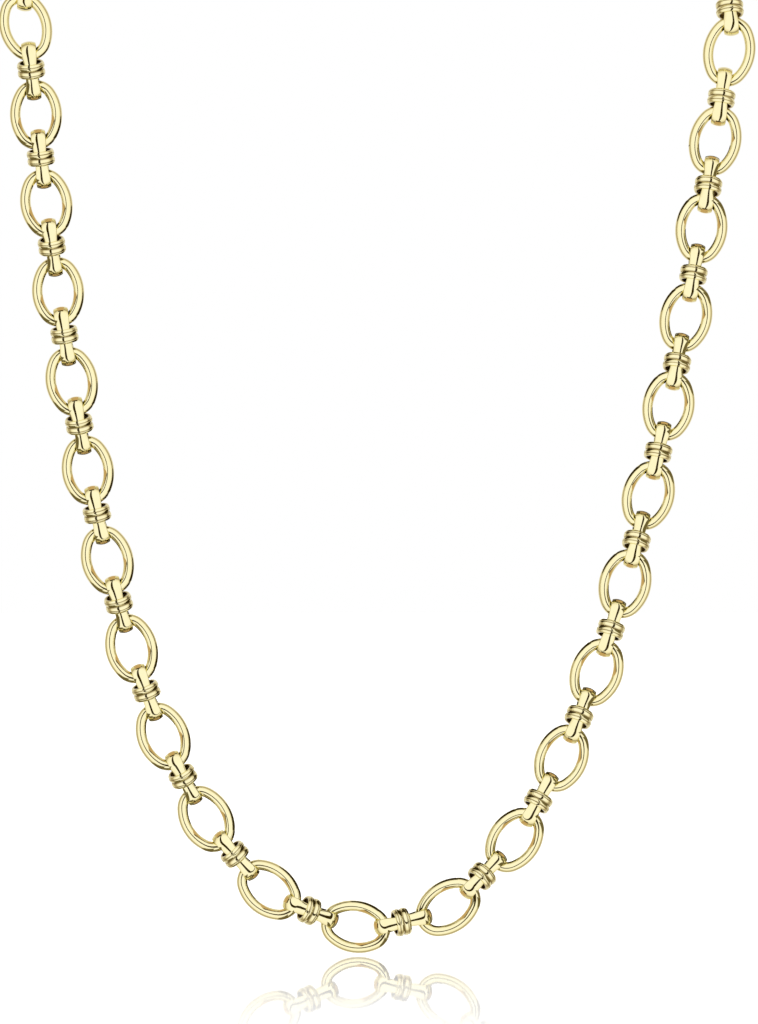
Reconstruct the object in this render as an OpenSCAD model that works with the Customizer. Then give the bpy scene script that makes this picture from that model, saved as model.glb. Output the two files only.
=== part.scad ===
// Necklace of oval links joined by collared connectors.
// It is one closed loop, hung from the nape of the neck, with its front facing -Y.

/* [Oval links] */
// Length of an oval link over its wire
oval_l = 9.9; // [9.8:0.05:10.1]
// Width of an oval link over its wire
oval_w = 7.3; // [6.9:0.05:8]
// Thickness of the round wire of an oval link
wire_d = 1.5; // [1.3:0.02:1.5]
// Bend radius of an oval link's ends, at the middle of the wire
oval_end_r = 2.35; // [2.3:0.05:2.5]

/* [Connectors] */
// Length of a connector from tip to tip
connector_l = 8.5; // [8.45:0.05:8.8]
// Height of the slot between the two straps of a connector
slot_h = 1.85; // [1.85:0.05:1.95]
// Thickness of a strap at its middle
strap_t = 0.65; // [0.62:0.01:0.68]
// Radius of a strap's outer face, across the strap
strap_r = 1.9; // [1.7:0.1:2.1]
// Radius of a strap's inner face, across the strap
strap_inner_r = 1.35; // [1.25:0.05:1.4]
// Outer diameter of the two rings of the collar
collar_d = 3.9; // [3.8:0.05:4.1]
// Wall of a collar ring
collar_wall = 0.5; // [0.45:0.05:0.55]
// Length of one collar ring along the connector
collar_ring_l = 1; // [0.9:0.05:1.1]
// Radius of a collar ring's rounded rim
collar_rim_r = 0.75; // [0.6:0.05:0.9]

/* [Clasp] */
// Outer diameter of the clasp's ring
clasp_ring_d = 6.1; // [5.6:0.1:6.4]
// Outer diameter of the eyelet at the clasp's other end
clasp_eye_d = 5.3; // [5.2:0.1:5.4]
// Thickness of the clasp's wire
clasp_wire_d = 1.2; // [1:0.05:1.2]

/* [Hang of the loop] */
// Distance between the middles of two oval links at the bottom of the loop
pitch = 13.3; // [13.1:0.05:13.35]
// Share of the pitch that the links draw together from the bottom of the front to its top
gather = 0.076; // [0:0.002:0.1]
// How far the lowest point lies to the right of the middle oval link, in half pitches
low_point = 0.573; // [0.3:0.001:0.8]
// Slope of the left side one half pitch above the lowest point
left_steepness = 0.249; // [0.23:0.001:0.27]
// How fast the left side gets steeper
left_growth = 1.19; // [1.1:0.01:1.25]
// Slope of the right side one half pitch above the lowest point
right_steepness = 0.453; // [0.42:0.001:0.48]
// How fast the right side gets steeper
right_growth = 0.906; // [0.88:0.001:0.93]
// Tilt of the connectors, first end to the front, in degrees
connector_tilt = 16; // [12:1:18]
// How much every second connector tilts more, and the others less, in degrees
tilt_swing = 3; // [0:1:4]
// How far the oval links swing in turn to each side, up the sides, in degrees
oval_swing = 4; // [0:0.5:5]

/* [Back of the loop] */
// Height of the Bezier handles that carry the chain round the nape
nape_handle = 51; // [50.5:0.5:52]
// Height above the lowest point at which the loop starts to bend back
bend_start = 131; // [125:1:140]
// Radius of the bend over the shoulders
bend_r = 36; // [34:1:40]
// Lean of the loop at the nape, back from upright, in degrees
nape_lean = 62; // [40:1:75]

/* [Hidden] */
gold = [0.91, 0.81, 0.50];

// Links are counted in half pitches from the middle oval link: even numbers
// are oval links, odd numbers are connectors, and positive ones lie to the right.
half_count = 33;
front_count = 22;
back_steps = 2 * (half_count - front_count);
own_count = 20;
clasp_at = 1 - half_count;
oval_ks = [for (k = [-own_count:2:own_count]) k];
connector_ks = [for (k = [1 - own_count:2:own_count - 1]) k];

function two_digits(i) = str(i < 10 ? "0" : "", i);
oval_names = [for (i = [1:len(oval_ks)]) str("oval_link_", two_digits(i))];
connector_names = [for (i = [1:len(connector_ks)]) str("connector_", two_digits(i))];

wire_r = wire_d / 2;
oval_a = oval_l / 2 - wire_r;
oval_b = oval_w / 2 - wire_r;
slot_r = slot_h / 2;
slot_end = connector_l / 2 - slot_r - strap_t;
collar_r = collar_d / 2;
// The side arcs of an oval link are a little thinner than its end arcs and run
// a little way into them.
side_thinning = 0.02;
side_overlap = 1;
cut = 1;
curve_points = 64;
$fn = 48;

// Shape of the front in its own plane: u runs to the right and w up.

// Angle of link k above the horizontal
function slope_angle(t) =
    t < 0 ? -atan(left_steepness * pow(-t, left_growth)) : atan(right_steepness * pow(t, right_growth));
function link_angle(k) = slope_angle(k - low_point);
function heading(angle) = [cos(angle), sin(angle)];

// Distance from link k to link k + 1
function hop(k) = pitch / 2 * (1 - gather * abs(k + 0.5 - low_point) / front_count);
function hop_between(k) = hop(k) * (heading(link_angle(k)) + heading(link_angle(k + 1))) / 2;

right_front = [for (k = 0, p = [0, 0]; k <= front_count; p = p + hop_between(k), k = k + 1) p];
left_front = [for (k = 0, p = [0, 0]; k >= -front_count; p = p - hop_between(k - 1), k = k - 1) p];

// The back is one Bezier curve from the last right link to the last left one.
back_from = right_front[front_count];
back_to = left_front[front_count];
back_handle_from = back_from + nape_handle * heading(link_angle(front_count));
back_handle_to = back_to - nape_handle * heading(link_angle(-front_count));

function back_point(s) =
    pow(1 - s, 3) * back_from + 3 * s * pow(1 - s, 2) * back_handle_from
    + 3 * s * s * (1 - s) * back_handle_to + pow(s, 3) * back_to;
function back_heading(s) =
    pow(1 - s, 2) * (back_handle_from - back_from) + 2 * s * (1 - s) * (back_handle_to - back_handle_from)
    + s * s * (back_to - back_handle_to);

// Table from the length along the back to the Bezier parameter
back_lengths = [
    for (i = 0, run = 0; i <= curve_points;
        run = run + norm(back_point((i + 1) / curve_points) - back_point(i / curve_points)), i = i + 1)
    [run, i / curve_points]
];
back_length = back_lengths[curve_points][0];
function back_share(j) = lookup(j * back_length / back_steps, back_lengths);

// Link k of the whole loop, with k taken round the loop
function wrapped(k) = k > half_count ? k - 2 * half_count : k <= -half_count ? k + 2 * half_count : k;
function back_step(k) = k > 0 ? k - front_count : k + 2 * half_count - front_count;
function flat_place(k) =
    abs(k) > front_count ? back_point(back_share(back_step(k))) : k < 0 ? left_front[-k] : right_front[k];
function flat_heading(k) =
    abs(k) > front_count ? unit(back_heading(back_share(back_step(k)))) : heading(link_angle(k));

// The plane is bent back over the shoulders: upright, then an arc, then straight.
bend_arc = bend_r * nape_lean * PI / 180;
function lean(w) = max(0, min(nape_lean, (w - bend_start) / bend_r * 180 / PI));
function past_bend(w) = max(0, w - bend_start - bend_arc);
function bent(p) = [
    p[0],
    bend_r * (1 - cos(lean(p[1]))) + past_bend(p[1]) * sin(nape_lean),
    min(p[1], bend_start) + bend_r * sin(lean(p[1])) + past_bend(p[1]) * cos(nape_lean)
];

// The origin is the middle of the nape.
nape = bent(back_point(0.5));

function unit(v) = v / norm(v);
function place(k) = bent(flat_place(k)) - nape;
function up_along(k) = let (a = lean(flat_place(k)[1])) [0, sin(a), cos(a)];
function front_of(k) = let (a = lean(flat_place(k)[1])) [0, -cos(a), sin(a)];
function level_along(k) = let (h = flat_heading(k)) [h[0], 0, 0] + h[1] * up_along(k);

// Frame of a link: its middle, its long axis and the direction that it faces
function tilt_of(k) = connector_tilt + tilt_swing * ((k + half_count) % 4 == 0 ? 1 : -1);
function connector_along(k) = level_along(k) * cos(tilt_of(k)) - front_of(k) * sin(tilt_of(k));
function connector_front(k) = front_of(k) * cos(tilt_of(k)) + level_along(k) * sin(tilt_of(k));

// Centre of the round end of a connector's slot, and of its strap's inner face
function slot_centre(k, side) = place(k) + side * slot_end * connector_along(k);
function strap_centre(k, side) = slot_centre(k, side) + side * (slot_r + strap_inner_r) * level_along(k);

function swing_of(k) =
    abs(k) > front_count ? 0 : oval_swing * (k % 4 == 0 ? -1 : 1) * abs(k) / front_count;
function without(v, n) = v - n * (v * n);

// How far the wire of oval link k sits in from the round ends of the slots that hold it
function inset_of(before, after) = oval_a - norm(slot_centre(after, -1) - slot_centre(before, 1)) / 2;
function wire_seat(k, side, inset) = slot_centre(k, side) - side * inset * connector_along(k);

// An oval link hangs between the ends of its two neighbours.
function oval_frame(k) =
    let (
        before = wrapped(k - 1),
        after = wrapped(k + 1),
        front = front_of(k),
        level = unit(without(strap_centre(after, -1) - strap_centre(before, 1), front)),
        inset = inset_of(before, after),
        seat_before = wire_seat(before, 1, inset),
        seat_after = wire_seat(after, -1, inset),
        rise = asin((seat_after - seat_before) * front / (2 * oval_a)),
        strap_middle = (strap_centre(after, -1) + strap_centre(before, 1)) / 2,
        seat_middle = (seat_after + seat_before) / 2,
        swung = level * cos(swing_of(k)) + cross(front, level) * sin(swing_of(k))
    )
    [
        strap_middle + front * ((seat_middle - strap_middle) * front),
        swung * cos(rise) + front * sin(rise),
        front * cos(rise) - swung * sin(rise)
    ];
function connector_frame(k) = [place(k), connector_along(k), connector_front(k)];

// Moves a piece made along X and facing Z into a frame
module set_in(frame) {
    along = frame[1];
    across = cross(frame[2], frame[1]);
    front = frame[2];
    multmatrix([
        [along[0], across[0], front[0], frame[0][0]],
        [along[1], across[1], front[1], frame[0][1]],
        [along[2], across[2], front[2], frame[0][2]],
        [0, 0, 0, 1]
    ])
    children();
}

// Part of a ring of round wire, centred on the X axis and about Z
module wire_arc(radius, wire, from, sweep) {
    rotate([0, 0, from])
    rotate_extrude(angle = sweep)
    translate([radius, 0])
    circle(d = wire);
}

// Oval link of round wire: two end arcs and two flatter side arcs, all tangent
module oval_link() {
    end_x = oval_a - oval_end_r;
    side_gap = oval_b - oval_end_r;
    side_y = (end_x * end_x - side_gap * side_gap) / (2 * side_gap);
    side_r = oval_b + side_y;
    side_half = atan(end_x / side_y);
    side_reach = side_half + side_overlap;
    color(gold)
    union() {
        for (side = [0, 180]) {
            rotate([0, 0, side])
            translate([end_x, 0, 0])
            wire_arc(oval_end_r, wire_d, side_half - 90, 180 - 2 * side_half);
            rotate([0, 0, side])
            translate([0, -side_y, 0])
            wire_arc(side_r, wire_d - side_thinning, 90 - side_reach, 2 * side_reach);
        }
    }
}

// Section of a strap: x is the distance from the middle of the slot
module strap_section() {
    intersection() {
        translate([slot_r + strap_t - strap_r, 0])
        circle(r = strap_r);
        translate([slot_r + strap_inner_r, 0])
        circle(r = strap_inner_r);
    }
}

// One half of the connector's long loop, with its round end
module half_loop() {
    translate([slot_end, 0, 0])
    rotate([90, 0, 0])
    rotate([0, 0, -90])
    rotate_extrude(angle = 180)
    strap_section();
    for (side = [0, 1]) {
        mirror([0, 0, side])
        translate([slot_end, 0, 0])
        rotate([0, -90, 0])
        linear_extrude(slot_end)
        strap_section();
    }
}

// Section of the collar's two rings, each with a rounded rim
module collar_section() {
    for (side = [-1, 1]) {
        intersection() {
            translate([collar_r - collar_rim_r, side * collar_ring_l / 2])
            circle(r = collar_rim_r);
            translate([collar_r - collar_wall, (side - 1) * collar_ring_l / 2])
            square([collar_wall + cut, collar_ring_l]);
        }
    }
}

// Connector: a long loop on edge, with a collar of two rings soldered round its middle
module connector() {
    color(gold)
    union() {
        half_loop();
        mirror([1, 0, 0])
        half_loop();
        rotate([0, 90, 0])
        rotate_extrude()
        collar_section();
    }
}

// Plain ring clasp with an eyelet, as long as an oval link
module clasp_body() {
    ring_r = (clasp_ring_d - clasp_wire_d) / 2;
    eye_r = (clasp_eye_d - clasp_wire_d) / 2;
    color(gold)
    union() {
        translate([oval_a - ring_r, 0, 0])
        wire_arc(ring_r, clasp_wire_d, 0, 360);
        translate([eye_r - oval_a, 0, 0])
        wire_arc(eye_r, clasp_wire_d, 0, 360);
    }
}

// Every loose piece of the back chain from link k_from to link k_to
module back_chain(k_from, k_to) {
    for (k = [k_from:k_to]) {
        if (k % 2 == 0) {
            set_in(oval_frame(k))
            oval_link();
        } else {
            set_in(connector_frame(k))
            connector();
        }
    }
}

for (i = [0:len(oval_ks) - 1]) {
    set_in(oval_frame(oval_ks[i])) oval_link();
}
for (i = [0:len(connector_ks) - 1]) {
    set_in(connector_frame(connector_ks[i])) connector();
}
back_chain(clasp_at + 1, -own_count - 1);  // back_chain_left
back_chain(own_count + 1, half_count);  // back_chain_right
set_in(oval_frame(clasp_at)) clasp_body();  // clasp
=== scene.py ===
"""Looks of an oval link necklace: polished pale gold links over a white floor, lit by a white tent."""

import math

import bpy
import numpy as np
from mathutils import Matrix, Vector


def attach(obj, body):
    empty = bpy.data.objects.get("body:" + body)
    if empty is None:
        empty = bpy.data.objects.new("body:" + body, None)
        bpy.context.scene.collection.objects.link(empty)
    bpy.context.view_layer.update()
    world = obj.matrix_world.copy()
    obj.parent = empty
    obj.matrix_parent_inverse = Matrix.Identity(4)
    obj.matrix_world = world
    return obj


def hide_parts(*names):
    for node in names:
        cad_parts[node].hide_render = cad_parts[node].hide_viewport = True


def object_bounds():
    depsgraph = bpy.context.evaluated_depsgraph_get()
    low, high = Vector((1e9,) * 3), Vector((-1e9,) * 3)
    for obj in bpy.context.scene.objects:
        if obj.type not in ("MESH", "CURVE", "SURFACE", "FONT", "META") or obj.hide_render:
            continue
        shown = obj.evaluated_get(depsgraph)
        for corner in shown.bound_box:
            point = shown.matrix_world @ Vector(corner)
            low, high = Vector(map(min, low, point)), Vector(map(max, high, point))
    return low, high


bl_info = {
    "name": "Oval Link Necklace",
    "version": (1, 0, 0),
    "blender": (4, 5, 0),
    "location": "3D View > Sidebar > Necklace",
    "description": "Polished gold links for a hanging necklace, with its floor, light and camera",
    "category": "Add Mesh",
}

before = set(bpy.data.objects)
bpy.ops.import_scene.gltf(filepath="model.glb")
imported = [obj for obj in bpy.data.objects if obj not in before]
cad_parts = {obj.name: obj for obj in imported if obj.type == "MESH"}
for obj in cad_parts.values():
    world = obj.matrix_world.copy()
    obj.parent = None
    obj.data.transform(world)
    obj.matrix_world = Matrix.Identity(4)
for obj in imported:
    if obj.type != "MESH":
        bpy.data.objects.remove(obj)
cad_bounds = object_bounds()

MM = 0.001
BODY = "root"
TO_FRONT = np.array([0.0, -1.0, 0.0])
UP_AND_FRONT = np.array([0.0, -1.0, 1.0])
WHITE = (1.0, 1.0, 1.0)

# Names of the CAD nodes, in their order round the loop
OVAL_NODES = sorted(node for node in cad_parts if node.startswith("oval_link_"))
CONNECTOR_NODES = sorted(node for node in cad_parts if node.startswith("connector_"))
BACK_NODES = ["back_chain_left", "back_chain_right"]
CLASP_NODE = "clasp"

# Step of the grid on which the corners of a CAD node are merged
MERGE_SIZE = 0.0005 * MM

# Small flags in the holes of the oval links: each one's tone, the depths to the back of a link's middle
# between which it stands, and whether it faces the chain's start
HOLE_FLAGS = (
    {"tone": "dark", "first": -0.9 * MM, "last": 0.2 * MM, "to_start": True},
    {"tone": "brown", "first": 0.2 * MM, "last": 2.8 * MM, "to_start": True},
    {"tone": "dark", "first": -3.1 * MM, "last": -2.2 * MM, "to_start": False},
    {"tone": "brown", "first": -2.2 * MM, "last": 2.4 * MM, "to_start": False},
)

# A flag seen at a slant above this, where 1 is edge-on, is left out
EDGE_ON = 0.93

# Camera sensor in millimetres, and how far the camera sees in metres
SENSOR_WIDTH = 36.0
FAR_END = 100.0


# Sizes and settings that a user would change


def length(name, about, default):
    """A length property in metres."""
    return bpy.props.FloatProperty(
        name=name, description=about, default=default, min=0, unit="LENGTH", precision=5
    )


def place(name, about, default):
    """A place along an axis in metres, which may be below 0."""
    return bpy.props.FloatProperty(name=name, description=about, default=default, unit="LENGTH", precision=5)


def turn(name, about, default):
    """An angle property, with its default in degrees."""
    return bpy.props.FloatProperty(
        name=name, description=about, default=math.radians(default), subtype="ANGLE"
    )


def share(name, about, default, highest=1.0):
    """A plain number from 0 up."""
    return bpy.props.FloatProperty(
        name=name, description=about, default=default, min=0, max=highest, precision=4
    )


def colour(name, about, default):
    """A colour property."""
    return bpy.props.FloatVectorProperty(
        name=name, description=about, default=default, min=0, max=4, subtype="COLOR"
    )


class LinkSizes(bpy.types.PropertyGroup):
    """Sizes of the two kinds of link and of the clasp."""

    oval_length: length("Oval length", "Length of an oval link over its wire", 9.9 * MM)
    oval_width: length("Oval width", "Width of an oval link over its wire", 7.3 * MM)
    wire: length("Oval wire", "Thickness of an oval link's round wire", 1.5 * MM)
    end_radius: length("End radius", "Bend radius of an oval's ends, at the middle of its wire", 2.35 * MM)
    connector_length: length("Connector length", "Length of a connector from tip to tip", 8.5 * MM)
    slot_height: length("Slot height", "Height of the slot between a connector's straps", 1.85 * MM)
    strap_thickness: length("Strap thickness", "Thickness of a strap at its middle", 0.65 * MM)
    strap_outer: length("Strap outer radius", "Radius of a strap's outer face, across it", 1.5 * MM)
    strap_inner: length("Strap inner radius", "Radius of a strap's inner face, across it", 1.5 * MM)
    strap_edge: length("Strap edge radius", "Radius that polishing leaves on a strap's edges", 0.1 * MM)
    knuckle_flare: share("Knuckle flare", "Width of a strap's ends over that at its collar", 1.18, 1.5)
    collar_diameter: length("Collar diameter", "Outer diameter of the collar's two rings", 3.9 * MM)
    collar_wall: length("Collar wall", "Wall of a collar ring", 0.5 * MM)
    ring_length: length("Ring length", "Length of one collar ring along the connector", 1.0 * MM)
    rim_radius: length("Rim radius", "Radius of a collar ring's rounded rim", 0.75 * MM)
    collar_shift: length("Collar shift", "How far the collar sits off the middle, towards one end", 0.25 * MM)
    notch_place: length("Notch place", "Distance of a ring's fine notch from the groove", 0.6 * MM)
    notch_depth: length("Notch depth", "Depth of that notch", 0.1 * MM)
    collar_edge: length("Collar edge radius", "Radius that polishing leaves on its edges", 0.08 * MM)
    clasp_ring: length("Clasp ring", "Outer diameter of the clasp's ring", 6.1 * MM)
    clasp_eyelet: length("Clasp eyelet", "Outer diameter of the clasp's eyelet", 5.3 * MM)
    clasp_wire: length("Clasp wire", "Thickness of the clasp's wire", 1.2 * MM)


class GoldFinish(bpy.types.PropertyGroup):
    """Colours and polish of the gold."""

    gold: colour("Gold", "Colour of the polished gold", (0.98, 0.93, 0.58))
    warm_gold: colour("Warm gold", "Colour where the alloy is a little warmer", (0.95, 0.87, 0.49))
    warm_share: share("Warm share", "Largest share of warm gold in the polished gold", 0.5)
    # The recess colour is painted shade: a dark brown laid into the base colour in the grooves, notches and
    # inner faces, where shade falls, at the share below
    recess: colour("Recess", "Colour of the tarnish that stays in the recesses", (0.22, 0.14, 0.04))
    painted_shade: share("Tarnish", "How strongly the tarnish covers the gold in a recess", 0.95)
    roughness: share("Roughness", "Roughness of the polished faces", 0.05)
    dullness: share("Dullness", "Roughness that full tarnish adds", 0.16)
    wave_depth: length("Wave depth", "Depth of the soft waves that polishing leaves", 0.002 * MM)
    wave_size: length("Wave size", "Width of those waves", 0.9 * MM)
    line_size: length("Line size", "Width of the finest polishing lines", 0.03 * MM)
    line_share: share("Line share", "Strength of those lines in height and roughness", 0.03)


class StudioSettings(bpy.types.PropertyGroup):
    """Camera, floor and light."""

    camera_distance: length("Camera distance", "Distance from the camera to the front of the loop", 1.2)
    view_height: length("View height", "Height that the camera takes in at the loop's front", 142.6 * MM)
    aim_x: place("Aim X", "Where the camera aims, to the right of the nape", -0.5 * MM)
    aim_z: place("Aim Z", "Where the camera aims, above the nape", -100.4 * MM)
    floor_size: length("Floor size", "Length of the floor's sides", 8.0)
    floor_gap: length("Floor gap", "Gap between the lowest link and the floor", 0.25 * MM)
    floor_gloss: share("Floor gloss", "How strongly the floor mirrors the links right above it", 0.76)
    gloss_reach: length("Gloss reach", "How far in front of the loop the mirroring ends", 250 * MM)
    floor_tone: colour("Floor tone", "Colour of the floor", (0.9, 0.9, 0.9))
    floor_roughness: share("Floor roughness", "Least roughness of what the floor mirrors", 0.01)
    grain_roughness: share("Grain roughness", "Roughness that the floor's grain adds at most", 0.03)
    grain_size: length("Grain size", "Width of the floor's grain", 25 * MM)
    background: share("Background", "Brightness of the ground behind the necklace", 1.0, 4.0)
    soft_light: share("Soft light", "Brightness of the even light that the floor gets and mirrors", 1.35, 4.0)
    tent: share("Tent", "Brightness of the light tent in the gold", 1.05, 4.0)
    tent_bright: colour("Tent bright", "Tone of the tent in front and right behind", (1.0, 0.97, 0.96))
    tent_cream: colour("Tent cream", "Tone of the tent a little before its sides", (0.88, 0.82, 0.70))
    tent_shade: colour("Tent shade", "Tone of the tent at its sides", (0.42, 0.35, 0.24))
    tent_pale: colour("Tent pale", "Tone of the tent past its sides", (0.75, 0.70, 0.62))
    card_tone: colour("Card tone", "Tone of the dark card", (0.035, 0.022, 0.002))
    card_distance: length("Card distance", "How far in front of the links the card hangs", 25 * MM)
    card_near: length("Card near edge", "Distance from the links' middle line to its near edge", 2.6 * MM)
    card_far: length("Card far edge", "Distance from the links' middle line to its far edge", 10.5 * MM)
    card_run_out: length("Card run-out", "How far the card goes on past the front links", 72 * MM)
    dark_flag: colour("Dark flag", "Tone of the darkest flags", (0.03, 0.02, 0.002))
    olive_flag: colour("Olive flag", "Tone of the flags on the loop's outside", (0.15, 0.12, 0.05))
    brown_flag: colour("Brown flag", "Tone of the flags that warm the tips", (0.56, 0.38, 0.19))
    flag_near: length("Flag near edge", "Distance from the links' middle line to a flag", 4.6 * MM)
    flag_outside: length("Flag reach outside", "How far flags reach on the loop's outside", 18 * MM)
    flag_inside: length("Flag reach inside", "How far flags reach on the loop's inside", 22 * MM)
    flag_front_outside: length("Flag front outside", "How far outside flags reach to the front", 7 * MM)
    flag_front_inside: length("Flag front inside", "How far inside flags reach to the front", 2.2 * MM)
    flag_slant: turn("Flag slant", "Turn of the inside flags off square to the chain", 16)
    flag_back: length("Flag back", "How far the flags reach to the back", 8 * MM)
    back_flag: length("Back flag", "How far behind the links the flags right behind them start", 2.6 * MM)
    hole_flag: length("Hole flag", "Width of the small flags in the hole of an oval link", 2.4 * MM)


# Shader maths


class Value:
    """A number in a node tree. Each operator adds one Math node."""

    def __init__(self, tree, socket):
        self.tree = tree
        self.socket = socket

    def maths(self, operation, *terms):
        """The result of one Math node. Its terms are values or plain numbers, in order."""
        sockets = {f"i{number}": term for number, term in enumerate(terms)}
        node = self.tree.add("ShaderNodeMath", {"operation": operation}, **sockets)
        return Value(self.tree, node.outputs[0])

    def __add__(self, other):
        return self.maths("ADD", self, other)

    def __radd__(self, other):
        return self.maths("ADD", other, self)

    def __sub__(self, other):
        return self.maths("SUBTRACT", self, other)

    def __rsub__(self, other):
        return self.maths("SUBTRACT", other, self)

    def __mul__(self, other):
        return self.maths("MULTIPLY", self, other)

    def __rmul__(self, other):
        return self.maths("MULTIPLY", other, self)

    def __truediv__(self, other):
        return self.maths("DIVIDE", self, other)

    def __rtruediv__(self, other):
        return self.maths("DIVIDE", other, self)

    def above(self, limit):
        """1 where the value is above the limit, and otherwise 0."""
        return self.maths("GREATER_THAN", self, limit)

    def arccosine(self):
        """The angle that has this cosine."""
        return self.maths("ARCCOSINE", self)

    def clamped(self):
        """The value kept from 0 to 1."""
        return self.maths("MINIMUM", self.maths("MAXIMUM", self, 0.0), 1.0)


class Tree:
    """Builds one node tree. Its add() makes a node from its type, its settings and the values or links
    of its sockets."""

    def __init__(self, tree):
        self.tree = tree
        tree.nodes.clear()

    def add(self, kind, settings=None, **sockets):
        node = self.tree.nodes.new(kind)
        for name, value in (settings or {}).items():
            if name == "stops":
                self.set_stops(node.color_ramp, value)
            else:
                setattr(node, name, value)
        for name, value in sockets.items():
            self.feed(self.socket(node, name), value)
        return node

    def socket(self, node, name):
        """The input that a keyword names: i0, i1 and so on by number, or its name with _ for spaces."""
        if name[0] == "i" and name[1:].isdigit():
            return node.inputs[int(name[1:])]
        return node.inputs[name.replace("_", " ")]

    def feed(self, socket, value):
        if isinstance(value, Value):
            self.tree.links.new(value.socket, socket)
        elif isinstance(value, bpy.types.NodeSocket):
            self.tree.links.new(value, socket)
        else:
            socket.default_value = value

    def set_stops(self, ramp, stops):
        while len(ramp.elements) < len(stops):
            ramp.elements.new(1.0)
        for element, (position, tone) in zip(ramp.elements, stops):
            element.position = position
            element.color = rgba(tone)

    def value(self, socket):
        """A node's output as a number to reckon with."""
        return Value(self, socket)

    def noise(self, spot, scale, detail, roughness=0.5):
        """Noise at a spot, with a number of cells in a metre."""
        node = self.add("ShaderNodeTexNoise", Vector=spot, Scale=scale, Detail=detail, Roughness=roughness)
        return self.value(node.outputs["Fac"])

    def mixed(self, factor, first, second):
        """Colour that goes from first to second as factor goes from 0 to 1. A Mix node's colours are its
        inputs 6 and 7 and its output 2."""
        return self.add("ShaderNodeMix", {"data_type": "RGBA"}, i0=factor, i6=first, i7=second).outputs[2]

    def mixed_shader(self, factor, first, second):
        """Shader that goes from first to second as factor goes from 0 to 1."""
        return self.add("ShaderNodeMixShader", i0=factor, i1=first, i2=second).outputs[0]

    def background(self, tone, strength):
        """Light of one tone from the world."""
        return self.add("ShaderNodeBackground", Color=tone, Strength=strength).outputs[0]


def rgba(tone):
    """A colour with full alpha."""
    return (*tone, 1.0)


def new_material(name):
    """An empty material and its tree builder."""
    material = bpy.data.materials.new(name)
    material.use_nodes = True
    return material, Tree(material.node_tree)


def polished_gold():
    """Polished gold with soft waves, fine polishing lines along the wire and painted shade in the recesses,
    where the recess colour is laid into the base colour and the roughness rises. The lines are a noise on
    the wire coordinates, drawn out along the wire. Clouds of a slow noise warm the tone and break up the
    painted shade."""
    name = "polished_gold"
    if name in bpy.data.materials:
        return bpy.data.materials[name]
    finish = bpy.context.scene.necklace_gold
    material, tree = new_material(name)
    line_stretch = 25
    clouds_per_wave = 0.35
    even_painted_shade = 0.45
    cloud_edge = 0.42
    cloud_contrast = 3.0
    spot = tree.add("ShaderNodeTexCoord").outputs["Object"]
    on_wire = tree.add("ShaderNodeUVMap", {"uv_map": "wire"}).outputs["UV"]
    product = {"operation": "MULTIPLY"}
    drawn_out = tree.add("ShaderNodeVectorMath", product, i0=on_wire, i1=(1 / line_stretch, 1.0, 0.0))
    wave = tree.noise(spot, 1 / finish.wave_size, detail=1.0, roughness=0.4)
    line = tree.noise(drawn_out.outputs[0], 1 / finish.line_size, detail=2.0, roughness=0.6)
    cloud = tree.noise(spot, clouds_per_wave / finish.wave_size, detail=2.0)
    recess = tree.value(tree.add("ShaderNodeAttribute", {"attribute_name": "recess"}).outputs["Fac"])
    # Painted shade: the recess mask, broken up by the clouds, darkens the base colour towards the recess
    # colour
    painted_shade = (recess * (cloud + even_painted_shade)).clamped()
    warmth = ((cloud - cloud_edge) * cloud_contrast).clamped()
    polished = tree.mixed(warmth * finish.warm_share, rgba(finish.gold), rgba(finish.warm_gold))
    tone = tree.mixed(painted_shade * finish.painted_shade, polished, rgba(finish.recess))
    roughness = finish.roughness + (line - 0.5) * finish.line_share + painted_shade * finish.dullness
    height = wave + line * finish.line_share
    bump = tree.add("ShaderNodeBump", Height=height, Distance=finish.wave_depth, Strength=1.0)
    shader = tree.add(
        "ShaderNodeBsdfPrincipled",
        Base_Color=tone,
        Metallic=1.0,
        Roughness=roughness.clamped(),
        Normal=bump.outputs["Normal"],
    )
    tree.add("ShaderNodeOutputMaterial", Surface=shader.outputs[0])
    return material


# Where each link lies, read from the solids


def node_mesh(node):
    """Corners and triangles of a CAD node, with corners at one place merged."""
    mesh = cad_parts[node].data
    mesh.calc_loop_triangles()
    corners = np.empty(3 * len(mesh.vertices))
    mesh.vertices.foreach_get("co", corners)
    triangles = np.empty(3 * len(mesh.loop_triangles), dtype=np.int32)
    mesh.loop_triangles.foreach_get("vertices", triangles)
    corners = corners.reshape(-1, 3)
    cells = np.round(corners / MERGE_SIZE)
    _, first, merged = np.unique(cells, axis=0, return_index=True, return_inverse=True)
    return corners[first], merged.reshape(-1)[triangles].reshape(-1, 3)


def loose_parts(corners, triangles):
    """Splits triangles into loose parts. Each corner takes the lowest number round its triangles until
    none changes."""
    label = np.arange(len(corners))
    while True:
        spread = label.copy()
        np.minimum.at(spread, triangles.ravel(), np.repeat(label[triangles].min(axis=1), 3))
        spread = spread[spread]
        if np.array_equal(spread, label):
            break
        label = spread
    part = label[triangles[:, 0]]
    return [triangles[part == lowest] for lowest in np.unique(part)]


def slim_volumes(one, two, three):
    """Volumes of the tetrahedra from the origin to each triangle's corners: a sixth of the triple
    product."""
    return np.einsum("ij,ij->i", one, np.cross(two, three)) / 6


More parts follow.
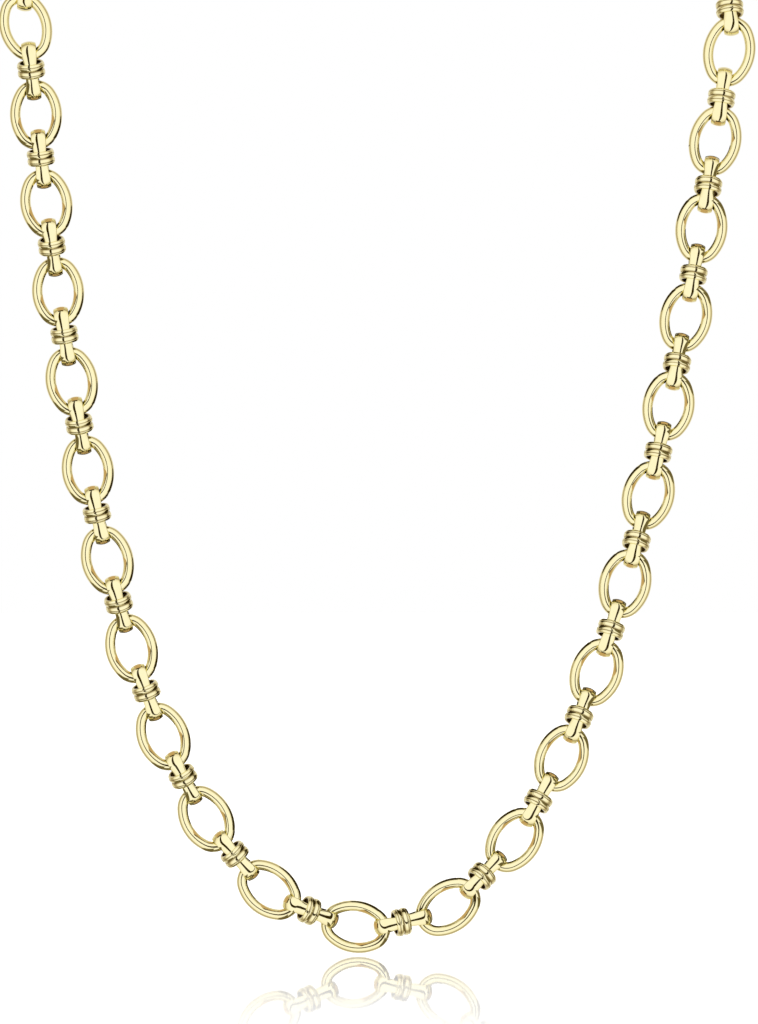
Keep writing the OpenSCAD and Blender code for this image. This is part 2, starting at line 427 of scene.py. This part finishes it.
def link_frame(corners, triangles):
    """Kind, middle and axes of one link. The axes are those of its second moment of volume, longest
    first, turned so that the link faces the front and runs down the left side, along the bottom and up
    the right. Volumes are summed over the tetrahedra between a middle point and each triangle. A link
    thinner than two wires is an oval."""
    start = corners[triangles].mean(axis=(0, 1))
    one, two, three = (corners[triangles[:, i]] - start for i in range(3))
    volume = slim_volumes(one, two, three)
    middle = np.einsum("i,ij->j", volume, one + two + three) / (4 * volume.sum())
    one, two, three = one - middle, two - middle, three - middle
    volume = slim_volumes(one, two, three)
    ends = (one, two, three, one + two + three)
    second_moment = sum(np.einsum("i,ij,ik->jk", volume, end, end) for end in ends)
    axes = np.linalg.eigh(second_moment)[1]
    middle = middle + start
    reach = (corners[np.unique(triangles)] - middle) @ axes
    middle = middle + axes @ (reach.min(axis=0) + reach.max(axis=0)) / 2
    thin, wide, along = axes.T
    is_flat = np.ptp(reach[:, 0]) < 2 * bpy.context.scene.necklace_links.wire
    front = thin if is_flat else wide
    front = front * np.sign(front @ UP_AND_FRONT)
    low, high = cad_bounds
    loop_middle = np.array((low + high) / 2)
    turning = np.cross(TO_FRONT, middle - loop_middle)
    along = along * np.sign(along @ turning)
    return {"oval": is_flat, "middle": middle, "axes": np.array([along, np.cross(front, along), front])}


def link_frames(node):
    """Frames of every loose link in a CAD node."""
    corners, triangles = node_mesh(node)
    return [link_frame(corners, part) for part in loose_parts(corners, triangles)]


# Surfaces


class Surface:
    """Corners, faces, wire coordinates and recess of a piece before it becomes a mesh. The recess is how
    much painted shade each corner gets.
    """

    def __init__(self, corners, faces, wire, recess):
        self.corners = corners
        self.faces = faces
        self.wire = wire
        self.recess = recess

    def placed(self, link):
        """The surface set in a link's frame: X goes along the link, Y across it and Z to the front."""
        return Surface(self.corners @ link["axes"] + link["middle"], self.faces, self.wire, self.recess)


def joined(surfaces):
    """One surface from several, with the faces of each counted on from those before."""
    starts = np.cumsum([0] + [len(surface.corners) for surface in surfaces[:-1]])
    return Surface(
        np.concatenate([surface.corners for surface in surfaces]),
        np.concatenate([surface.faces + start for surface, start in zip(surfaces, starts)]),
        np.concatenate([surface.wire for surface in surfaces]),
        np.concatenate([surface.recess for surface in surfaces]),
    )


def closed_grid(points, steps_along, steps_round, recess):
    """Surface of a grid of points that closes on itself both ways. Each cell is a face, turned
    outwards, and the wire coordinates of a face's corners are the lengths along and round the grid."""
    rows, columns = points.shape[:2]
    row, column = np.meshgrid(np.arange(rows), np.arange(columns), indexing="ij")
    row_ends = np.stack([row, row + 1, row + 1, row], axis=-1)
    column_ends = np.stack([column, column, column + 1, column + 1], axis=-1)
    faces = (row_ends % rows) * columns + column_ends % columns
    wire = np.stack([steps_along[row_ends], steps_round[column_ends]], axis=-1)
    faces = faces.reshape(-1, 4)
    wire = wire.reshape(-1, 4, 2)
    corners = points.reshape(-1, 3)
    ends = [corners[faces[:, i]] for i in range(4)]
    facing = np.cross(ends[2] - ends[0], ends[3] - ends[1])
    if np.einsum("ij,ij->", sum(ends), facing) < 0:
        faces = faces[:, ::-1]
        wire = wire[:, ::-1]
    recess = np.broadcast_to(recess, (rows, columns)).reshape(-1)
    return Surface(corners, faces, wire, recess)


def run_lengths(points):
    """Length along a closed line at each of its points, and at its end."""
    steps = np.linalg.norm(np.roll(points, -1, axis=0) - points, axis=-1)
    return np.concatenate([[0.0], np.cumsum(steps)])


def full_turn(steps):
    """Angles at even steps all the way round, without the last."""
    return np.arange(steps) * 2 * math.pi / steps


def arc_points(centre, radius, first, last, count):
    """Points of an arc in a plane, from one angle to another."""
    angle = np.linspace(first, last, count)
    return np.stack([centre[0] + radius * np.cos(angle), centre[1] + radius * np.sin(angle)], axis=-1)


def swept_wire(line, normal, wire, around, total):
    """Round wire along a flat closed line: each point moves out by the wire's radius times the cosine
    of the turn along the line's normal, and times its sine to the front."""
    angle = full_turn(around)
    points = np.zeros((len(line), around, 3))
    points[..., :2] = line[:, None] + wire * np.cos(angle)[None, :, None] * normal[:, None]
    points[..., 2] = wire * np.sin(angle)
    along = np.arange(len(line) + 1) * total / len(line)
    round_wire = np.arange(around + 1) * 2 * math.pi * wire / around
    return closed_grid(points, along, round_wire, 0.0)


def oval_surface(sizes, count=120, around=24):
    """Round wire bent to an oval. The middle line is two end arcs and two flatter side arcs that meet
    tangent, taken at even lengths: a point is its arc's centre plus the arc's radius in the direction
    of the outward normal. The surface is that point plus the wire's radius times the cosine of the turn
    outwards and its sine to the front."""
    wire = sizes.wire / 2
    half_length = sizes.oval_length / 2 - wire
    half_width = sizes.oval_width / 2 - wire
    end_x = half_length - sizes.end_radius
    gap = half_width - sizes.end_radius
    side_y = (end_x**2 - gap**2) / (2 * gap)
    side_radius = half_width + side_y
    side_half = math.atan2(end_x, side_y)
    end_half = math.pi / 2 - side_half
    arcs = np.array([end_half, side_half, side_half, end_half] * 2)
    radii = np.array([sizes.end_radius, side_radius, side_radius, sizes.end_radius] * 2)
    ends = np.concatenate([[0.0], np.cumsum(arcs * radii)])
    turns = np.concatenate([[0.0], np.cumsum(arcs)])
    total = ends[-1]
    angle = np.interp(np.arange(count) * total / count, ends, turns)
    normal = np.stack([np.cos(angle), np.sin(angle)], axis=-1)
    on_end = np.abs(normal[:, 0]) > math.cos(end_half)
    centre = np.where(
        on_end[:, None],
        np.stack([np.sign(normal[:, 0]) * end_x, np.zeros(count)], axis=-1),
        np.stack([np.zeros(count), -np.sign(normal[:, 1]) * side_y], axis=-1),
    )
    line = centre + np.where(on_end, sizes.end_radius, side_radius)[:, None] * normal
    return swept_wire(line, normal, wire, around, total)


def strap_profile(sizes, outer_points=19, inner_points=11, edge_points=7):
    """Section of a strap: a lens between its outer and inner arcs, with each edge rounded by an arc
    that touches both. The first coordinate is the distance from the middle of the slot, the second lies
    across the strap."""
    edge = sizes.strap_edge
    outer_x = sizes.slot_height / 2 + sizes.strap_thickness - sizes.strap_outer
    inner_x = sizes.slot_height / 2 + sizes.strap_inner
    outer_r = sizes.strap_outer - edge
    inner_r = sizes.strap_inner - edge
    gap = inner_x - outer_x
    edge_x = (gap**2 + outer_r**2 - inner_r**2) / (2 * gap)
    edge_y = math.sqrt(outer_r**2 - edge_x**2)
    outer_half = math.atan2(edge_y, edge_x)
    inner_half = math.atan2(edge_y, gap - edge_x)
    corner_x = outer_x + edge_x
    inner_first = math.pi - inner_half
    inner_last = math.pi + inner_half
    outer = arc_points((outer_x, 0), sizes.strap_outer, -outer_half, outer_half, outer_points)
    upper = arc_points((corner_x, edge_y), edge, outer_half, inner_first, edge_points)
    inner = arc_points((inner_x, 0), sizes.strap_inner, inner_first, inner_last, inner_points)
    lower = arc_points((corner_x, -edge_y), edge, inner_last, 2 * math.pi - outer_half, edge_points)
    return np.concatenate([outer[:-1], upper[:-1], inner[:-1], lower[:-1]])


def strap_surface(sizes, bend_steps=28, straight_steps=12):
    """The connector's long loop: the strap's section carried along two straight runs and round two half
    turns. A point is the middle of the run or turn, plus the section's first coordinate outwards and
    its second across. The second grows by the flare from the collar to the turns, as three squares less
    two cubes of the share of the way. The inner face, which looks into the slot, gets a little painted shade."""
    slot_end = sizes.connector_length / 2 - sizes.slot_height / 2 - sizes.strap_thickness
    bend = np.arange(bend_steps) * math.pi / bend_steps
    straight = np.arange(straight_steps) / straight_steps
    middle_x = np.concatenate([np.full(bend_steps, slot_end), slot_end * (1 - 2 * straight)])
    middle_x = np.concatenate([middle_x, -middle_x])
    half_way = np.concatenate([bend, np.full(straight_steps, math.pi)])
    angle = np.concatenate([half_way, half_way + math.pi]) - math.pi / 2
    profile = strap_profile(sizes)
    out = profile[None, :, 0]
    way = np.clip((np.abs(middle_x) - sizes.ring_length) / (slot_end - sizes.ring_length), 0, 1)
    widening = 1 + (sizes.knuckle_flare - 1) * way**2 * (3 - 2 * way)
    points = np.stack(
        [
            middle_x[:, None] + out * np.cos(angle)[:, None],
            profile[None, :, 1] * widening[:, None],
            out * np.sin(angle)[:, None],
        ],
        axis=-1,
    )
    # The strap's inner face, in the slot, gets painted shade at half strength
    inward = profile[:, 0] < sizes.slot_height / 2 + sizes.strap_thickness / 4
    inner_painted_shade = 0.5
    recess = np.where(inward, inner_painted_shade, 0.0)
    return closed_grid(points, run_lengths(points[:, 0]), run_lengths(profile), recess[None, :])


def notch_share(profile_y, sizes):
    """How deep a place along the axis lies in the fine notch of a ring: one minus its distance from the
    notch's middle over the notch's depth, and never below 0."""
    return np.clip(1 - np.abs(np.abs(profile_y) - sizes.notch_place) / sizes.notch_depth, 0, 1)


def collar_profile(sizes, rim_points=33, edge_points=5):
    """Section of the collar's two rings: a flat inner wall, rounded edges, and a rounded rim on each
    ring with a groove between them and a fine notch in each rim. The first coordinate is the distance
    from the axis, the second lies along it."""
    edge = sizes.collar_edge
    inside = sizes.collar_diameter / 2 - sizes.collar_wall
    rim_x = sizes.collar_diameter / 2 - sizes.rim_radius
    middle = sizes.ring_length / 2
    rim_r = sizes.rim_radius - edge
    side = middle - edge
    edge_x = rim_x + math.sqrt(rim_r**2 - side**2)
    lean = math.asin(side / rim_r)
    groove = math.asin(middle / sizes.rim_radius)
    edge_y = edge - sizes.ring_length
    side_turn = -math.pi / 2
    rim = arc_points((rim_x, -middle), sizes.rim_radius, groove, -lean, rim_points)
    rim[:, 0] -= sizes.notch_depth * notch_share(rim[:, 1], sizes)
    outer_edge = arc_points((edge_x, edge_y), edge, -lean, side_turn, edge_points)
    inner_edge = arc_points((inside + edge, edge_y), edge, side_turn, -math.pi, edge_points)
    ring = np.concatenate([rim[:-1], outer_edge, inner_edge])
    other = ring[::-1] * [1, -1]
    return np.concatenate([ring, other[:-1]])


def collar_surface(sizes, around=64):
    """The collar: its section turned round the connector's axis, a point lying at its distance from the
    axis times the sine and cosine of the turn. The groove, the notches and the inner wall get painted
    shade."""
    profile = collar_profile(sizes)
    angle = full_turn(around)
    distance = profile[None, :, 0]
    points = np.stack(
        [
            np.broadcast_to(profile[None, :, 1], (around, len(profile))) - sizes.collar_shift,
            distance * np.sin(angle)[:, None],
            distance * np.cos(angle)[:, None],
        ],
        axis=-1,
    )
    inside = sizes.collar_diameter / 2 - sizes.collar_wall
    wall_reach = 4 * sizes.collar_edge
    groove_reach = 0.16 * sizes.ring_length
    notch_painted_shade = 0.9
    # Share of painted shade at each place of the section: full at the inner wall and in the groove, less in
    # the notches
    inner_wall = np.clip(1 - (profile[:, 0] - inside) / wall_reach, 0, 1)
    groove = np.clip(1 - np.abs(profile[:, 1]) / groove_reach, 0, 1)
    recess = np.maximum.reduce([inner_wall, groove, notch_painted_shade * notch_share(profile[:, 1], sizes)])
    round_axis = np.arange(around + 1) * math.pi * sizes.collar_diameter / around
    return closed_grid(points, round_axis, run_lengths(profile), recess[None, :])


def connector_surface(sizes):
    """A connector: its long loop and the collar soldered round it."""
    return joined([strap_surface(sizes), collar_surface(sizes)])


def ring_surface(centre_x, radius, wire, count=96, around=20):
    """Round ring of round wire about a centre on the link's long axis."""
    angle = full_turn(count)
    normal = np.stack([np.cos(angle), np.sin(angle)], axis=-1)
    return swept_wire([centre_x, 0.0] + radius * normal, normal, wire, around, 2 * math.pi * radius)


def clasp_surface(sizes):
    """The clasp: a plain ring with an eyelet that meets it, together as long as an oval link."""
    wire = sizes.clasp_wire / 2
    half_length = (sizes.oval_length - sizes.wire) / 2
    ring = sizes.clasp_ring / 2 - wire
    eyelet = sizes.clasp_eyelet / 2 - wire
    first = ring_surface(half_length - ring, ring, wire)
    second = ring_surface(eyelet - half_length, eyelet, wire)
    return joined([first, second])


# Pieces


def add_piece(surface, node):
    """Makes a gold mesh from a surface. It rides the root body and stands for its CAD node."""
    name = f"gold_{node}"
    mesh = bpy.data.meshes.new(name)
    mesh.from_pydata(surface.corners.tolist(), [], surface.faces.tolist())
    wire = surface.wire.astype(np.float32).ravel()
    recess = surface.recess.astype(np.float32)
    mesh.uv_layers.new(name="wire").data.foreach_set("uv", wire)
    # The recess attribute tells the gold where to paint shade
    mesh.attributes.new("recess", "FLOAT", "POINT").data.foreach_set("value", recess)
    mesh.shade_smooth()
    mesh.validate()
    mesh.materials.append(polished_gold())
    piece = bpy.data.objects.new(name, mesh)
    bpy.context.scene.collection.objects.link(piece)
    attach(piece, BODY)
    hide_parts(node)


def add_links(nodes, shape):
    """One gold piece of one shape for each CAD node that holds a single link."""
    for node in nodes:
        add_piece(shape.placed(link_frames(node)[0]), node)


class NECKLACE_OT_oval_links(bpy.types.Operator):
    """Add the oval links of the front, one piece each"""

    bl_idname = "necklace.oval_links"
    bl_label = "Oval links"

    def execute(self, context):
        add_links(OVAL_NODES, oval_surface(context.scene.necklace_links))
        return {"FINISHED"}


class NECKLACE_OT_connectors(bpy.types.Operator):
    """Add the connectors of the front, one piece each"""

    bl_idname = "necklace.connectors"
    bl_label = "Connectors"

    def execute(self, context):
        add_links(CONNECTOR_NODES, connector_surface(context.scene.necklace_links))
        return {"FINISHED"}


class NECKLACE_OT_back_chain(bpy.types.Operator):
    """Add the two stretches of chain that go up and over the nape, one piece each"""

    bl_idname = "necklace.back_chain"
    bl_label = "Back chain"

    def execute(self, context):
        sizes = context.scene.necklace_links
        oval = oval_surface(sizes)
        connector = connector_surface(sizes)
        for node in BACK_NODES:
            links = [(oval if link["oval"] else connector).placed(link) for link in link_frames(node)]
            add_piece(joined(links), node)
        return {"FINISHED"}


class NECKLACE_OT_clasp(bpy.types.Operator):
    """Add the plain ring clasp"""

    bl_idname = "necklace.clasp"
    bl_label = "Clasp"

    def execute(self, context):
        add_links([CLASP_NODE], clasp_surface(context.scene.necklace_links))
        return {"FINISHED"}


# Stage


def front_line():
    """Middles of the front links, in order from the left top round the bottom to the right top, the
    direction of the chain at each as the camera sees it, and the direction to the inside of the loop."""
    nodes = OVAL_NODES + CONNECTOR_NODES
    nodes[::2] = OVAL_NODES
    nodes[1::2] = CONNECTOR_NODES
    middles = np.array([link_frames(node)[0]["middle"] for node in nodes])
    along = np.gradient(middles, axis=0) * [1, 0, 1]
    along = along / np.linalg.norm(along, axis=1)[:, None]
    inside = np.stack([-along[:, 2], along[:, 1], along[:, 0]], axis=-1)
    return middles, along, inside


def stage_mesh(name, corners, faces, material):
    """A mesh that belongs to the stage and not to the necklace."""
    mesh = bpy.data.meshes.new(name)
    mesh.from_pydata(np.asarray(corners).tolist(), [], np.asarray(faces).tolist())
    mesh.materials.append(material)
    thing = bpy.data.objects.new(name, mesh)
    bpy.context.scene.collection.objects.link(thing)
    return thing


def only_in_gold(thing):
    """Hides a stage piece from everything but the reflections in the gold."""
    thing.visible_camera = False
    thing.visible_diffuse = False
    thing.visible_shadow = False
    thing.visible_transmission = False


def flag_material(name, tone):
    """Plain tone on the side that the face looks to. From behind or edge-on, a flag isn't there."""
    material, tree = new_material(name)
    shade = tree.add("ShaderNodeEmission", Color=rgba(tone)).outputs[0]
    nothing = tree.add("ShaderNodeBsdfTransparent").outputs[0]
    behind = tree.add("ShaderNodeNewGeometry").outputs["Backfacing"]
    slant = tree.value(tree.add("ShaderNodeLayerWeight", Blend=0.5).outputs["Facing"])
    one_side = tree.mixed_shader(behind, shade, nothing)
    seen = tree.mixed_shader(slant.above(EDGE_ON), one_side, nothing)
    tree.add("ShaderNodeOutputMaterial", Surface=seen)
    return material


def add_dark_card(studio, line):
    """Dark card in front of the links that runs along the loop, a little to the outside of their middle
    line. Its reflection is the dark line along every polished wire. A point is a link's middle, moved
    to the front by the card's distance and outwards to the card's near or far edge. The card runs
    straight on at both ends."""
    middles, along, inside = line
    steps = 12
    run_out = np.arange(1, steps + 1)[:, None] * studio.card_run_out / steps
    start = middles[0] - along[0] * run_out[::-1]
    end = middles[-1] + along[-1] * run_out
    middles = np.concatenate([start, middles, end]) - [0.0, studio.card_distance, 0.0]
    inside_start = np.repeat(inside[:1], steps, axis=0)
    inside_end = np.repeat(inside[-1:], steps, axis=0)
    inside = np.concatenate([inside_start, inside, inside_end])
    corners = np.concatenate([middles - inside * studio.card_near, middles - inside * studio.card_far])
    count = len(middles)
    first = np.arange(count - 1)
    faces = np.stack([first, first + 1, first + 1 + count, first + count], axis=-1)
    name = "dark_card"
    only_in_gold(stage_mesh(name, corners, faces, flag_material(name, studio.card_tone)))


def flag_row(name, material, middles, outwards, sides, depths, to_start=True):
    """Row of flags that stand edge-on to the camera, each with its face towards the chain's start or
    its end. A corner is a link's middle plus one of the two distances outwards and one of the two
    depths to the back."""
    near, far = (side * outwards for side in sides)
    front, back = (np.array([0.0, depth, 0.0]) for depth in depths)
    corners = np.stack([near + front, near + back, far + back, far + front], axis=1) + middles[:, None]
    faces = np.arange(4 * len(middles)).reshape(-1, 4)
    faces_end = (sides[1] - sides[0]) * (depths[1] - depths[0]) > 0
    if faces_end == to_start:
        faces = faces[:, ::-1]
    only_in_gold(stage_mesh(name, corners.reshape(-1, 3), faces, material))


def add_flags(studio, line):
    """Rows of dark, olive and brown flags beside, behind and inside the links. The gold shows them where
    it looks along the chain and a little to the back, and they leave it bright where it looks the other
    way."""
    tones = {
        "dark": flag_material("dark_flag", studio.dark_flag),
        "olive": flag_material("olive_flag", studio.olive_flag),
        "brown": flag_material("brown_flag", studio.brown_flag),
    }
    middles, along, inside = line
    near = studio.flag_near
    back = studio.flag_back
    slanted = math.cos(studio.flag_slant) * inside - math.sin(studio.flag_slant) * along
    inner_depths = (-studio.flag_front_inside, back)
    outer_depths = (-studio.flag_front_outside, back)
    flag_row("inside_flags", tones["dark"], middles, slanted, (near, studio.flag_inside), inner_depths)
    flag_row("outside_flags", tones["olive"], middles, inside, (-near, -studio.flag_outside), outer_depths)
    flag_row("back_flags", tones["dark"], middles, inside, (-near, near), (studio.back_flag, back))
    half = studio.hole_flag / 2
    holes = middles[::2], inside[::2], (-half, half)
    for number, row in enumerate(HOLE_FLAGS, start=1):
        depths = (row["first"], row["last"])
        flag_row(f"hole_flags_{number}", tones[row["tone"]], *holes, depths, row["to_start"])


def add_floor(studio):
    """White floor just under the lowest link. It mirrors the links softly right under them and less
    further to the front."""
    low, high = cad_bounds
    material, tree = new_material("white_floor")
    spot = tree.add("ShaderNodeTexCoord").outputs["Object"]
    depth = tree.value(tree.add("ShaderNodeSeparateXYZ", i0=spot).outputs["Y"])
    nearness = ((depth - (low.y - studio.gloss_reach)) / studio.gloss_reach).clamped()
    grain = tree.noise(spot, 1 / studio.grain_size, detail=3.0)
    roughness = grain * studio.grain_roughness + studio.floor_roughness
    white = tree.add("ShaderNodeBsdfDiffuse", Color=rgba(studio.floor_tone)).outputs[0]
    mirror = tree.add("ShaderNodeBsdfGlossy", Color=rgba(WHITE), Roughness=roughness).outputs[0]
    mixed = tree.mixed_shader(nearness * studio.floor_gloss, white, mirror)
    tree.add("ShaderNodeOutputMaterial", Surface=mixed)
    half = studio.floor_size / 2
    height = low.z - studio.floor_gap
    signs = ((-1, -1), (1, -1), (1, 1), (-1, 1))
    outline = np.array([(half * x, half * y, height) for x, y in signs])
    floor = stage_mesh("white_floor", outline, [(0, 1, 2, 3)], material)
    floor.visible_glossy = False
    sheet_lift = studio.floor_gap / 10
    add_clear_sheet(outline + [0.0, 0.0, sheet_lift])


def add_clear_sheet(outline):
    """Clear sheet just above the floor that bends no ray. What the floor mirrors is seen through its
    underside, which leaves out the dark card and the flags, because these are hidden from rays that
    passed a clear thing."""
    material, tree = new_material("clear_sheet")
    under = tree.add("ShaderNodeNewGeometry").outputs["Backfacing"]
    nothing = tree.add("ShaderNodeBsdfTransparent").outputs[0]
    clear = tree.add("ShaderNodeBsdfRefraction", Roughness=0.0, IOR=1.0).outputs[0]
    tree.add("ShaderNodeOutputMaterial", Surface=tree.mixed_shader(under, nothing, clear))
    sheet = stage_mesh("clear_sheet", outline, [(0, 1, 2, 3)], material)
    sheet.visible_diffuse = False
    sheet.visible_shadow = False


def add_light_tent(studio):
    """White light tent round the necklace. Its tone follows the angle from the camera's side of the
    tent, so the gold looks alike whichever way a link is turned: bright all round the front, dark at
    the sides, pale past them and white again right behind. The camera sees the plain background, and
    the floor gets and mirrors an even soft light."""
    world = bpy.data.worlds.new("light_tent")
    bpy.context.scene.world = world
    world.use_nodes = True
    tree = Tree(world.node_tree)
    direction = tree.add("ShaderNodeTexCoord").outputs["Generated"]
    to_back = tree.value(tree.add("ShaderNodeSeparateXYZ", i0=direction).outputs["Y"])
    angle = (-1.0 * to_back).arccosine() / math.pi
    # Share of the half turn from front to back, and the tone there
    stops = [
        (0.0, studio.tent_bright),
        (0.28, studio.tent_bright),
        (0.41, studio.tent_cream),
        (0.49, studio.tent_shade),
        (0.62, studio.tent_shade),
        (0.68, studio.tent_pale),
        (0.80, studio.tent_pale),
        (1.0, studio.tent_bright),
    ]
    ramp = tree.add("ShaderNodeValToRGB", {"stops": stops}, Fac=angle).outputs["Color"]
    tent = tree.background(ramp, studio.tent)
    plain = tree.background(rgba(WHITE), studio.background)
    soft = tree.background(rgba(WHITE), studio.soft_light)
    path = tree.add("ShaderNodeLightPath")
    glossy = tree.value(path.outputs["Is Glossy Ray"])
    from_floor = tree.value(path.outputs["Is Transmission Ray"])
    unseen = tree.mixed_shader(glossy * (1.0 - from_floor), soft, tent)
    seen = tree.mixed_shader(path.outputs["Is Camera Ray"], unseen, plain)
    tree.add("ShaderNodeOutputWorld", Surface=seen)


def add_camera(studio):
    """Long lens camera that looks square on at the front of the loop."""
    low, high = cad_bounds
    data = bpy.data.cameras.new("camera")
    data.sensor_width = SENSOR_WIDTH
    data.lens = SENSOR_WIDTH * studio.camera_distance / studio.view_height
    data.clip_end = FAR_END
    camera = bpy.data.objects.new("camera", data)
    camera.location = (studio.aim_x, low.y - studio.camera_distance, studio.aim_z)
    camera.rotation_euler = (math.pi / 2, 0.0, 0.0)
    bpy.context.scene.collection.objects.link(camera)
    bpy.context.scene.camera = camera


class NECKLACE_OT_studio(bpy.types.Operator):
    """Add the floor, the dark card and flags, the light tent and the camera"""

    bl_idname = "necklace.studio"
    bl_label = "Studio"

    def execute(self, context):
        studio = context.scene.necklace_studio
        line = front_line()
        add_floor(studio)
        add_dark_card(studio, line)
        add_flags(studio, line)
        add_light_tent(studio)
        add_camera(studio)
        context.scene.view_settings.view_transform = "Standard"
        return {"FINISHED"}


class NECKLACE_PT_panel(bpy.types.Panel):
    """Sizes, finish and studio of the necklace, with a button for each group of pieces"""

    bl_label = "Necklace"
    bl_idname = "NECKLACE_PT_panel"
    bl_space_type = "VIEW_3D"
    bl_region_type = "UI"
    bl_category = "Necklace"

    def draw(self, context):
        for operator in OPERATORS:
            self.layout.operator(operator.bl_idname)
        for name in GROUPS:
            group = getattr(context.scene, name)
            box = self.layout.box()
            for setting in group.__annotations__:
                box.prop(group, setting)


GROUPS = {"necklace_links": LinkSizes, "necklace_gold": GoldFinish, "necklace_studio": StudioSettings}
OPERATORS = (
    NECKLACE_OT_oval_links,
    NECKLACE_OT_connectors,
    NECKLACE_OT_back_chain,
    NECKLACE_OT_clasp,
    NECKLACE_OT_studio,
)


def register():
    for item in (*GROUPS.values(), *OPERATORS, NECKLACE_PT_panel):
        bpy.utils.register_class(item)
    for name, group in GROUPS.items():
        setattr(bpy.types.Scene, name, bpy.props.PointerProperty(type=group))


def unregister():
    for name in GROUPS:
        delattr(bpy.types.Scene, name)
    for item in (NECKLACE_PT_panel, *reversed(OPERATORS), *reversed(list(GROUPS.values()))):
        bpy.utils.unregister_class(item)


def main():
    register()
    bpy.ops.necklace.oval_links()
    bpy.ops.necklace.connectors()
    bpy.ops.necklace.back_chain()
    bpy.ops.necklace.clasp()
    bpy.ops.necklace.studio()


if __name__ == "__main__":
    main()
